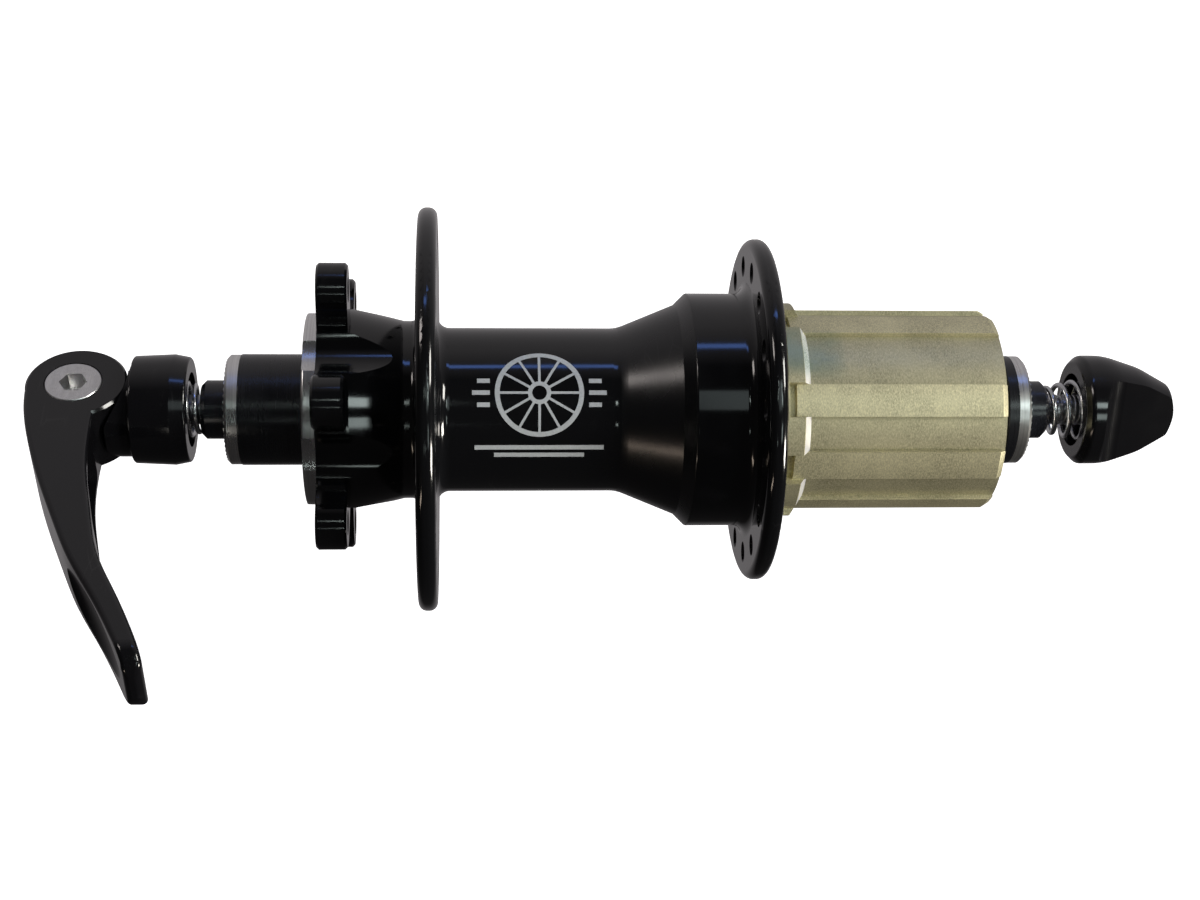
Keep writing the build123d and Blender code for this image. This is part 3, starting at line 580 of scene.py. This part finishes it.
# ---- geometry node trees ----------------------------------------------------------------------
class Repeater:
    """Geometry Nodes trees that repeat a piece round the hub axis or wind a thread along it."""

    def __init__(self) -> None:
        """Build both trees."""
        self.ring_tree = self._ring()
        self.thread_tree = self._thread()

    @staticmethod
    def _start(name: str, sizes: dict[str, str]) -> tuple[Tree, dict, bpy.types.Node]:
        """Start a geometry tree with named inputs; gives it, its input sockets and its output node."""
        tree = bpy.data.node_groups.new(name, "GeometryNodeTree")
        tree.interface.new_socket("Geometry", in_out="INPUT", socket_type="NodeSocketGeometry")
        for key, kind in sizes.items():
            tree.interface.new_socket(key, in_out="INPUT", socket_type=kind)
        tree.interface.new_socket("Geometry", in_out="OUTPUT", socket_type="NodeSocketGeometry")
        entry, leave = tree.nodes.new("NodeGroupInput"), tree.nodes.new("NodeGroupOutput")
        return Tree(tree), dict(entry.outputs.items()), leave

    def _ring(self) -> bpy.types.NodeTree:
        """Copies of the input piece turned evenly about the X axis."""
        tree, given, leave = self._start("ring_of_pieces", {
            "Count": "NodeSocketInt", "First turn": "NodeSocketFloat", "Finish": "NodeSocketMaterial"})
        points = tree.add("GeometryNodeMeshLine", {"Count": given["Count"], "Offset": (0, 0, 0)})
        index = tree.add("GeometryNodeInputIndex").outputs[0]
        step = tree.maths("DIVIDE", math.tau, given["Count"])
        turn = tree.maths("MULTIPLY_ADD", index, step, given["First turn"])
        rotation = tree.add("ShaderNodeCombineXYZ", {0: turn}).outputs[0]
        copies = tree.add("GeometryNodeInstanceOnPoints", {
            "Points": points.outputs[0], "Instance": given["Geometry"], "Rotation": rotation})
        real = tree.add("GeometryNodeRealizeInstances", {0: copies.outputs[0]})
        done = tree.add("GeometryNodeSetMaterial", {0: real.outputs[0], "Material": given["Finish"]})
        tree.tree.links.new(done.outputs[0], leave.inputs[0])
        return tree.tree

    def _thread(self) -> bpy.types.NodeTree:
        """A helical crest along the X axis."""
        tree, given, leave = self._start("thread_crest", {
            "Start": "NodeSocketFloat", "Radius": "NodeSocketFloat", "Pitch": "NodeSocketFloat",
            "Turns": "NodeSocketFloat", "Crest": "NodeSocketFloat", "Finish": "NodeSocketMaterial"})
        height = tree.maths("MULTIPLY", given["Pitch"], given["Turns"])
        spiral = tree.add("GeometryNodeCurveSpiral", {
            "Resolution": 40, "Rotations": given["Turns"], "Start Radius": given["Radius"],
            "End Radius": given["Radius"], "Height": height})
        shift = tree.add("ShaderNodeCombineXYZ", {0: given["Start"]}).outputs[0]
        laid = tree.add("GeometryNodeTransform", {
            "Geometry": spiral.outputs[0], "Translation": shift,
            "Rotation": (0.0, math.pi / 2, 0.0)})
        section = tree.add("GeometryNodeCurvePrimitiveCircle", {"Resolution": 4, "Radius": given["Crest"]})
        swept = tree.add("GeometryNodeCurveToMesh", {
            "Curve": laid.outputs[0], "Profile Curve": section.outputs[0], "Fill Caps": True})
        real = tree.add("GeometryNodeRealizeInstances", {0: swept.outputs[0]})
        done = tree.add("GeometryNodeSetMaterial", {0: real.outputs[0], "Material": given["Finish"]})
        tree.tree.links.new(done.outputs[0], leave.inputs[0])
        return tree.tree

    @staticmethod
    def _applied(name: str, seed: bpy.types.Mesh, tree: bpy.types.NodeTree,
                 values: dict[str, object]) -> bpy.types.Object:
        """Run a tree on a seed mesh and keep the plain result.

        Args:
            name: name of the finished piece.
            seed: mesh that the tree starts from.
            tree: the geometry tree.
            values: input name to value.

        Returns:
            The finished piece.
        """
        holder = bpy.data.objects.new(name + "_seed", seed)
        bpy.context.scene.collection.objects.link(holder)
        modifier = holder.modifiers.new("build", "NODES")
        modifier.node_group = tree
        identifiers = {item.name: item.identifier for item in tree.interface.items_tree
                       if item.in_out == "INPUT"}
        for key, value in values.items():
            modifier[identifiers[key]] = value
        depsgraph = bpy.context.evaluated_depsgraph_get()
        mesh = bpy.data.meshes.new_from_object(holder.evaluated_get(depsgraph))
        bpy.data.objects.remove(holder)
        mesh.name = name
        piece = bpy.data.objects.new(name, mesh)
        bpy.context.scene.collection.objects.link(piece)
        return piece

    def ring(self, name: str, seed: bpy.types.Mesh, count: int, first: float,
             material: bpy.types.Material) -> bpy.types.Object:
        """Repeat a mesh round the hub axis.

        Args:
            name: name of the finished piece.
            seed: the one piece, in place at the first position.
            count: how many.
            first: turn of the first, in degrees.
            material: its finish.

        Returns:
            The finished piece.
        """
        return self._applied(name, seed, self.ring_tree, {
            "Count": count, "First turn": math.radians(first), "Finish": material})

    def thread(self, name: str, start: float, radius: float, pitch: float, turns: float,
               crest: float, material: bpy.types.Material) -> bpy.types.Object:
        """Wind a thread crest along the hub axis.

        Args:
            name: name of the finished piece.
            start: x of the first turn, in millimetres.
            radius: radius of the crest's middle, in millimetres.
            pitch: millimetres in each turn.
            turns: how many turns.
            crest: half the crest's width, in millimetres.
            material: its finish.

        Returns:
            The finished piece.
        """
        seed = bpy.data.meshes.new(name + "_point")
        return self._applied(name, seed, self.thread_tree, {
            "Start": start * MM, "Radius": radius * MM, "Pitch": pitch * MM, "Turns": float(turns),
            "Crest": crest * MM, "Finish": material})


# ---- mesh helpers -----------------------------------------------------------------------------
def mesh_from(name: str, build: Callable[[bmesh.types.BMesh], None]) -> bpy.types.Mesh:
    """Make a mesh in millimetres with a builder, point its faces outwards and turn it to metres.

    Args:
        name: the mesh's name.
        build: fills the empty bmesh.

    Returns:
        The mesh.
    """
    mesh = bpy.data.meshes.new(name)
    work = bmesh.new()
    build(work)
    bmesh.ops.remove_doubles(work, verts=work.verts, dist=1e-5)
    bmesh.ops.recalc_face_normals(work, faces=work.faces)
    bmesh.ops.transform(work, matrix=Matrix.Scale(MM, 4), verts=work.verts)
    work.to_mesh(mesh)
    work.free()
    return mesh


def placed(name: str, mesh: bpy.types.Mesh) -> bpy.types.Object:
    """Link an object at the origin that holds a mesh.

    Args:
        name: the object's name.
        mesh: its mesh, already in place.

    Returns:
        The object.
    """
    piece = bpy.data.objects.new(name, mesh)
    bpy.context.scene.collection.objects.link(piece)
    return piece


def lathe(work: bmesh.types.BMesh, profile: Sequence[tuple[float, float]], steps: int = 96) -> None:
    """Turn a closed (x, radius) profile about the hub axis.

    Args:
        work: the bmesh to add to.
        profile: corners of the section, in order.
        steps: segments in the full turn.
    """
    rings = []
    for i in range(steps):
        a = math.tau * i / steps
        rings.append([work.verts.new((x, r * math.cos(a), r * math.sin(a))) for x, r in profile])
    count = len(profile)
    for i in range(steps):
        here, there = rings[i], rings[(i + 1) % steps]
        for j in range(count):
            k = (j + 1) % count
            work.faces.new((here[j], here[k], there[k], there[j]))


# ---- sub-assemblies ---------------------------------------------------------------------------
@dataclass
class EndRings:
    """Radial serrations on the two bright rings that bite into the dropouts.

    Attributes:
        teeth: ridges on each ring.
        inner: inner radius of a ridge.
        margin: from a ridge's outer end to the ring's edge.
        height: how far a ridge stands out.
        sunk: how far its foot is let into the ring.
    """

    teeth: int = 48
    inner: float = 5.6
    margin: float = 0.55
    height: float = 0.18
    sunk: float = 0.02

    def build(self, repeat: Repeater, wardrobe: Wardrobe) -> list[bpy.types.Object]:
        """Build both rings of ridges from the repeating trees."""
        made = []
        for side, node in ((-1, "left_end_ring"), (1, "right_end_ring")):
            low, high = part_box(node)
            face = (low.x if side < 0 else high.x) / MM
            outer = high.z / MM - self.margin
            seed = mesh_from(node + "_ridge", lambda work: self._ridge(work, side, face, outer))
            piece = repeat.ring(node + "_serration", seed, self.teeth, 0.0,
                                wardrobe.material(Dress.RING))
            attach(piece, Body.AXLE.value)
            made.append(piece)
        return made

    def _ridge(self, work: bmesh.types.BMesh, side: int, face: float, outer: float) -> None:
        """One three-sided ridge at +Z, widening outwards.

        Args:
            work: the bmesh to add to.
            side: -1 for the brake side, 1 for the drive side.
            face: x of the ring's face.
            outer: outer radius of the ridge.
        """
        base = face - side * self.sunk
        crest = face + side * self.height
        corners = []
        for r in (self.inner, outer):
            half = math.pi * r / self.teeth * 0.8
            corners += [work.verts.new((base, -half, r)), work.verts.new((base, half, r)),
                        work.verts.new((crest, 0.0, r))]
        a, b, c, d, e, f = corners
        for face_verts in ((a, b, c), (d, f, e), (a, d, e, b), (b, e, f, c), (c, f, d, a)):
            work.faces.new(face_verts)


@dataclass
class Threads:
    """Thread crests on the skewer rod and in the mouth of the freehub body."""

    rod_pitch: float = 0.8
    rod_radius: float = 2.47
    rod_start: float = 73.0
    rod_turns: float = 8.0
    rod_crest: float = 0.2
    lockring_pitch: float = 1.05
    lockring_radius: float = 15.13
    lockring_start: float = 56.2
    lockring_turns: float = 4.3
    lockring_crest: float = 0.26

    def build(self, repeat: Repeater, wardrobe: Wardrobe) -> list[bpy.types.Object]:
        """Build both threads from the repeating trees."""
        rod = repeat.thread("rod_thread", self.rod_start, self.rod_radius, self.rod_pitch,
                            self.rod_turns, self.rod_crest, wardrobe.material(Dress.ZINC))
        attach(rod, Body.SKEWER.value)
        lockring = repeat.thread("lockring_thread", self.lockring_start, self.lockring_radius,
                                 self.lockring_pitch, self.lockring_turns, self.lockring_crest,
                                 wardrobe.material(Dress.FREEHUB))
        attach(lockring, Body.FREEHUB.value)
        return [rod, lockring]


@dataclass
class SealLips:
    """Moulded lips on the visible faces of the bearing seals."""

    rise: float = 0.12
    width: float = 0.3
    sunk: float = 0.02
    insets: tuple[float, float] = (0.45, 1.5)

    def build(self, wardrobe: Wardrobe) -> list[bpy.types.Object]:
        """Build two concentric lips on each seal of each bearing.

        Args:
            wardrobe: the finishes.

        Returns:
            One piece for each bearing.
        """
        made = []
        homes = {"left_shell_seals": Body.SHELL, "right_shell_seals": Body.SHELL,
                 "inner_freehub_seals": Body.FREEHUB, "outer_freehub_seals": Body.FREEHUB}
        for node, body in homes.items():
            low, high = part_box(node)
            faces = ((low.x / MM, -1), (high.x / MM, 1))
            outer = high.z / MM
            radii = [outer - inset for inset in self.insets]

            def both(work: bmesh.types.BMesh) -> None:
                """Lathe every lip of this bearing."""
                for x, side in faces:
                    for r in radii:
                        top = x + side * self.rise
                        foot = x - side * self.sunk
                        lathe(work, [(foot, r), (top, r - self.width * 0.25),
                                     (top, r - self.width * 0.75), (foot, r - self.width)])

            piece = placed(node + "_lips", mesh_from(node + "_lips", both))
            wardrobe.put_on(piece, Dress.SEAL)
            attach(piece, body.value)
            made.append(piece)
        return made


@dataclass
class Springs:
    """The two conical springs, copied from their nodes with smooth shading.

    Attributes:
        axle_end: x of the axle's ends, where the springs stand; not used.
        seats: x of each spring's far end, by node.
        join: points closer than this are one, in metres.
        crease: faces that meet at more than this stay sharp, in degrees.
    """

    axle_end: float = 72.0
    seats: tuple[tuple[str, float], ...] = (("left_spring", -78.0), ("right_spring", 81.3))
    join: float = 1e-7
    crease: float = 40.0

    def build(self, wardrobe: Wardrobe) -> list[bpy.types.Object]:
        """Copy both springs with smooth shading and hide their nodes.

        Args:
            wardrobe: the finishes.

        Returns:
            The two pieces.
        """
        made = []
        for node, seat in self.seats:
            mesh = bpy.data.objects[node].data.copy()
            work = bmesh.new()
            work.from_mesh(mesh)
            bmesh.ops.remove_doubles(work, verts=work.verts, dist=self.join)
            work.to_mesh(mesh)
            work.free()
            mesh.polygons.foreach_set("use_smooth", [True] * len(mesh.polygons))
            mesh.set_sharp_from_angle(angle=math.radians(self.crease))
            piece = placed(node + "_coil", mesh)
            wardrobe.put_on(piece, Dress.SPRING)
            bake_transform(piece)
            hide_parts(node)
            made.append(piece)
        return made


@dataclass
class WheelMark:
    """Plain printed mark on the waist: a spoked ring between two pairs of bars.

    Attributes:
        centre: x of the mark's middle.
        tilt: how far the middle stands above level, in degrees.
        ring: outer radius of the ring.
        spokes: spokes inside the ring.
    """

    centre: float = -15.9
    tilt: float = 11.5
    ring: float = 7.3
    band: float = 0.8
    hub: float = 1.9
    spokes: int = 12
    spoke_width: float = 0.42
    waist: float = 13.85
    thick: float = 0.03

    def build(self, wardrobe: Wardrobe) -> bpy.types.Object:
        """Build the mark wrapped round the waist."""
        piece = placed("wheel_mark", mesh_from("wheel_mark", self._shapes))
        wardrobe.put_on(piece, Dress.PRINT)
        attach(piece, Body.SHELL.value)
        return piece

    def _shapes(self, work: bmesh.types.BMesh) -> None:
        """Lay every stroke of the mark."""
        self._annulus(work, self.ring - self.band, self.ring)
        self._annulus(work, self.hub - 0.7, self.hub)
        for i in range(self.spokes):
            a = math.tau * i / self.spokes
            along = Vector((math.cos(a), math.sin(a)))
            self._bar(work, along * (self.hub - 0.05), along * (self.ring - self.band + 0.05),
                      self.spoke_width)
        for side in (-1, 1):
            for row, reach in ((-2.0, 10.2), (0.0, 11.0), (2.0, 10.2)):
                self._bar(work, Vector((side * (self.ring + 0.8), row)), Vector((side * reach, row)),
                          0.75)
        for row, reach in ((-9.2, 10.6), (-10.6, 7.4)):
            self._bar(work, Vector((-reach, row)), Vector((reach, row)), 0.8)

    def _on_waist(self, x: float, up: float, lift: float) -> tuple[float, float, float]:
        """Point of the waist's surface.

        Args:
            x: distance along the hub from the mark's middle.
            up: distance round the waist.
            lift: height over the surface.

        Returns:
            The place in the hub's own frame.
        """
        radius = self.waist + lift
        a = math.radians(self.tilt) + up / self.waist
        return (self.centre + x, -radius * math.cos(a), radius * math.sin(a))

    def _strip(self, work: bmesh.types.BMesh, first: Sequence[Vector], second: Sequence[Vector],
               closed: bool) -> None:
        """Closed thin solid between two lines of points.

        Args:
            work: the bmesh to add to.
            first: points of one edge.
            second: points of the other edge.
            closed: whether the strip meets itself.
        """
        layers = [[[work.verts.new(self._on_waist(p.x, p.y, lift)) for p in line]
                   for line in (first, second)] for lift in (-self.thick, self.thick)]
        (low_a, low_b), (top_a, top_b) = layers
        count = len(first)
        for i in range(count if closed else count - 1):
            j = (i + 1) % count
            work.faces.new((low_a[i], low_b[i], low_b[j], low_a[j]))
            work.faces.new((top_a[i], top_a[j], top_b[j], top_b[i]))
            work.faces.new((low_a[i], low_a[j], top_a[j], top_a[i]))
            work.faces.new((low_b[i], top_b[i], top_b[j], low_b[j]))
        if not closed:
            for i in (0, count - 1):
                work.faces.new((low_a[i], top_a[i], top_b[i], low_b[i]))

    def _annulus(self, work: bmesh.types.BMesh, inner: float, outer: float) -> None:
        """Ring stroke centred on the mark."""
        turns = [math.tau * i / 96 for i in range(96)]
        self._strip(work, [Vector((inner * math.cos(a), inner * math.sin(a))) for a in turns],
                    [Vector((outer * math.cos(a), outer * math.sin(a))) for a in turns], True)

    def _bar(self, work: bmesh.types.BMesh, start: Vector, end: Vector, width: float) -> None:
        """Straight stroke from start to end."""
        steps = 8
        run = end - start
        aside = Vector((-run.y, run.x)).normalized() * width / 2
        middle = [start + run * (i / steps) for i in range(steps + 1)]
        self._strip(work, [p - aside for p in middle], [p + aside for p in middle], False)


# ---- studio -----------------------------------------------------------------------------------
@dataclass(frozen=True)
class Panel:
    """One flat soft light one metre from the hub's axis.

    Attributes:
        name: the light's name.
        span: where it starts and ends along x, in millimetres.
        rise: how high it stands, in degrees over the front horizon.
        tall: its height in millimetres.
        radiance: its brightness.
        colour: its tint.
    """

    name: str
    span: tuple[float, float]
    rise: float
    tall: float
    radiance: float
    colour: Colour = (1.0, 1.0, 1.0)

    def build(self, distance: float) -> None:
        """Build the light this many millimetres from the hub's axis, facing its middle."""
        data = bpy.data.lights.new(self.name, "AREA")
        data.shape = "RECTANGLE"
        data.size, data.size_y = (self.span[1] - self.span[0]) * MM, self.tall * MM
        data.energy = self.radiance * math.pi * data.size * data.size_y
        data.color = self.colour
        lamp = bpy.data.objects.new(self.name, data)
        up = math.radians(self.rise)
        lamp.location = Vector((sum(self.span) / 2, -distance * math.cos(up),
                                distance * math.sin(up))) * MM
        lamp.rotation_mode = "QUATERNION"
        lamp.rotation_quaternion = (-lamp.location).to_track_quat("-Z", "Y")
        bpy.context.scene.collection.objects.link(lamp)


PANELS = (
    Panel("cool_strip", (-110.0, 350.0), 63.6, 80.0, 4.2, (0.16, 0.34, 1.0)),
    Panel("near_left", (-102.0, -74.0), 9.0, 80.0, 13.0, (0.86, 1.0, 0.95)),
    Panel("low_left", (-102.0, -74.0), -21.0, 50.0, 8.0, (0.86, 1.0, 0.95)),
    Panel("dim_front", (125.0, 345.0), 9.0, 330.0, 0.9, (0.86, 1.0, 1.0)),
    Panel("near_right", (372.0, 470.0), 8.5, 190.0, 8.0, (0.86, 1.0, 0.97)),
    Panel("low_right", (372.0, 470.0), -15.5, 200.0, 5.0, (0.86, 1.0, 0.97)),
    Panel("key_left", (-950.0, -600.0), 46.0, 230.0, 8.0, (1.0, 0.92, 0.88)),
    Panel("warm_left", (-950.0, -560.0), -57.0, 80.0, 8.0, (1.0, 0.82, 0.66)),
    Panel("key_right", (900.0, 1400.0), 30.0, 420.0, 21.0, (1.0, 0.98, 0.92)),
    Panel("low_key_right", (1500.0, 2200.0), -45.0, 420.0, 46.0, (1.0, 0.95, 0.86)),
)


@dataclass
class Studio:
    """Pale floor with a swept-up back, soft lights and the camera.

    Attributes:
        floor_z: height of the floor under the hub.
        floor_front: how far the floor reaches in front of the hub.
        floor_side: how far it reaches to each side.
        lens: focal length on a 36 mm sensor.
        eye: the camera's place.
        swing: how far the camera turns towards the drive side, in degrees.
        dip: how far it looks down, in degrees.
        distance: how far the lights stand from the hub.
        overhead: brightness of the room above and behind the hub.
        ahead: brightness of the room below and in front of it.
    """

    floor_z: float = -46.0
    floor_front: float = 12000.0
    floor_side: float = 9000.0
    lens: float = 57.0
    eye: tuple[float, float, float] = (-28.84, -323.7, 0.0)
    swing: float = 4.21
    dip: float = 1.22
    distance: float = 1000.0
    overhead: float = 0.38
    ahead: float = 0.025

    def build(self) -> None:
        """Build the floor, the lights, the surroundings and the camera."""
        self._floor()
        for panel in PANELS:
            panel.build(self.distance)
        self._surroundings()
        self._camera()

    def _floor(self) -> None:
        """A floor that curves up into a back wall."""
        radius = 500.0
        profile = [(-self.floor_front, 0.0), (radius, 0.0)]
        profile += [(radius + radius * math.sin(a), radius * (1 - math.cos(a)))
                    for a in (math.pi / 2 * i / 16 for i in range(1, 17))]
        profile.append((2 * radius, 2600.0))

        def sweep(work: bmesh.types.BMesh) -> None:
            """Stretch the profile sideways."""
            rows = [[work.verts.new((x, y, z + self.floor_z))
                     for x in (-self.floor_side, self.floor_side)] for y, z in profile]
            for here, there in zip(rows, rows[1:]):
                work.faces.new((here[0], here[1], there[1], there[0]))

        floor = placed("studio_floor", mesh_from("studio_floor", sweep))
        material = bpy.data.materials.new("pale_floor")
        material.use_nodes = True
        shader = material.node_tree.nodes["Principled BSDF"]
        shader.inputs["Base Color"].default_value = (0.9, 0.9, 0.9, 1.0)
        shader.inputs["Roughness"].default_value = 1.0
        shader.inputs["Specular IOR Level"].default_value = 0.0
        shader.inputs["Emission Color"].default_value = (1.0, 1.0, 1.0, 1.0)
        shader.inputs["Emission Strength"].default_value = 1.0
        floor.data.materials.append(material)
        for polygon in floor.data.polygons:
            polygon.use_smooth = True
        floor.visible_glossy = False
        floor.visible_diffuse = False
        floor.visible_shadow = False

    def _surroundings(self) -> None:
        """A dim room, brighter above and behind the hub than in front of it."""
        world = bpy.data.worlds.new("room")
        bpy.context.scene.world = world
        world.use_nodes = True
        tree = Tree(world.node_tree)
        way = tree.add("ShaderNodeTexCoord").outputs["Generated"]
        axes = tree.add("ShaderNodeSeparateXYZ", {0: way}).outputs
        up_and_back = tree.maths("MULTIPLY_ADD", axes[1], 0.8, axes[2])
        strength = tree.scale(up_and_back, self.ahead, self.overhead, 0.1, 1.0)
        background = world.node_tree.nodes["Background"]
        background.inputs["Color"].default_value = (1.0, 0.95, 0.97, 1.0)
        world.node_tree.links.new(strength, background.inputs["Strength"])

    def _camera(self) -> None:
        """The camera in front of the hub, level with its axis and turned a little."""
        data = bpy.data.cameras.new("camera")
        data.lens = self.lens
        data.sensor_width = 36.0
        data.clip_start, data.clip_end = 0.01, 20.0
        camera = bpy.data.objects.new("camera", data)
        camera.location = Vector(self.eye) * MM
        camera.rotation_euler = (math.radians(90.0 - self.dip), 0.0, -math.radians(self.swing))
        bpy.context.scene.collection.objects.link(camera)
        bpy.context.scene.camera = camera
        bpy.context.scene.view_settings.view_transform = "Standard"


def main() -> None:
    """Load the frame, dress its nodes, add the fine pieces and set the studio."""
    logging.basicConfig(level=logging.INFO, format="%(message)s")
    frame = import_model()
    wardrobe = Wardrobe()
    repeat = Repeater()
    wardrobe.dress_nodes(frame)
    for node in frame["nodes"].values():
        LOG.info("node %s: %d faces", node.name, len(node.data.polygons))
    made = EndRings().build(repeat, wardrobe)
    made += Threads().build(repeat, wardrobe)
    made += SealLips().build(wardrobe)
    made += Springs().build(wardrobe)
    made.append(WheelMark().build(wardrobe))
    for piece in made:
        LOG.info("piece %s: %d faces", piece.name, len(piece.data.polygons))
    Studio().build()


if __name__ == "__main__":
    main()
